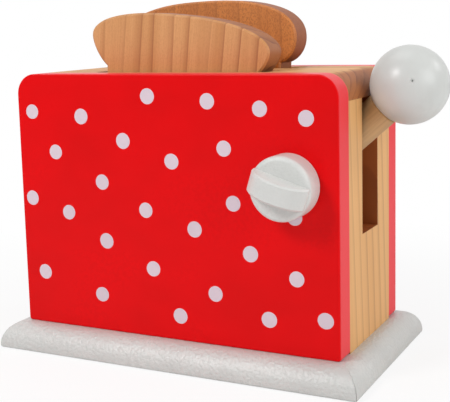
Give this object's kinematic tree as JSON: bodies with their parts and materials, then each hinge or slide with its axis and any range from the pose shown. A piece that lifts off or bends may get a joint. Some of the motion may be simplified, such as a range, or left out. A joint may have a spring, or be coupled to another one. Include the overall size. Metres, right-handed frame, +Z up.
{
  "type": "toy toaster",
  "caption": "Painted wooden toy toaster: press the ball-ended lever and the bread slices rise; the dial turns.",
  "frame": {"origin": "centre of the base board's underside", "axes": "+X towards the lever and ball, -Y towards the front with the dial, +Z up"},
  "size_m": [0.2115, 0.1135, 0.1683],
  "materials": {
    "white_paint": "white satin paint over wood",
    "red_paint": "red satin paint over wood",
    "bare_pine": "sanded and clear lacquered softwood",
    "beech": "sanded hardwood rod",
    "birch_plywood": "sanded plywood",
    "light_toast": "stained softwood",
    "dark_toast": "darker stained softwood",
    "zinc_steel": "zinc plated"
  },
  "bodies": {
    "casing": {"base_board": "white_paint", "front_panel": "red_paint", "rear_panel": "red_paint", "left_end_board": "bare_pine", "right_end_board": "bare_pine", "top_board": "bare_pine", "base_screws": "zinc_steel", "front_dowels": "beech", "rear_dowels": "beech", "top_dowels": "beech", "pivot_pin": "beech", "pivot_spacer_front": "beech", "pivot_spacer_rear": "beech", "front_guide_left": "bare_pine", "front_guide_right": "bare_pine", "rear_guide_left": "bare_pine", "rear_guide_right": "bare_pine", "front_stop": "bare_pine", "rear_stop": "bare_pine"},
    "lever": {"lever_rod": "beech", "lever_ball": "white_paint", "lift_bar": "beech", "lift_bar_screw": "zinc_steel"},
    "carrier": {"toast_carrier": "birch_plywood"},
    "front_slice": {"toast_front": "light_toast"},
    "rear_slice": {"toast_rear": "dark_toast"},
    "dial": {"dial_knob": "white_paint", "dial_grip": "white_paint", "dial_axle": "beech", "dial_washer": "zinc_steel", "dial_screw": "zinc_steel"}
  },
  "joints": [
    {"name": "lever_tilt", "type": "hinge", "parent": "casing", "child": "lever", "pos_m": [0.0435, 0, 0.07875], "axis": [0, 1, 0], "range_deg": [0, 44]},
    {"name": "carrier_lift", "type": "slide", "parent": "casing", "child": "carrier", "axis": [0, 0, 1], "range_m": [0, 0.0342]},
    {"name": "front_slice_out", "type": "slide", "parent": "carrier", "child": "front_slice", "axis": [0.1115, 0, 0.9938], "range_m": [0, 0.12]},
    {"name": "rear_slice_out", "type": "slide", "parent": "carrier", "child": "rear_slice", "axis": [-0.0297, 0, 0.9996], "range_m": [0, 0.12]},
    {"name": "dial_turn", "type": "hinge", "parent": "casing", "child": "dial", "pos_m": [0.05985, -0.0405, 0.08815], "axis": [0, -1, 0], "continuous": true}
  ],
  "couplings": [
    {"joint": "carrier_lift", "follows": "lever_tilt", "m_per_rad": 0.044471}
  ]
}
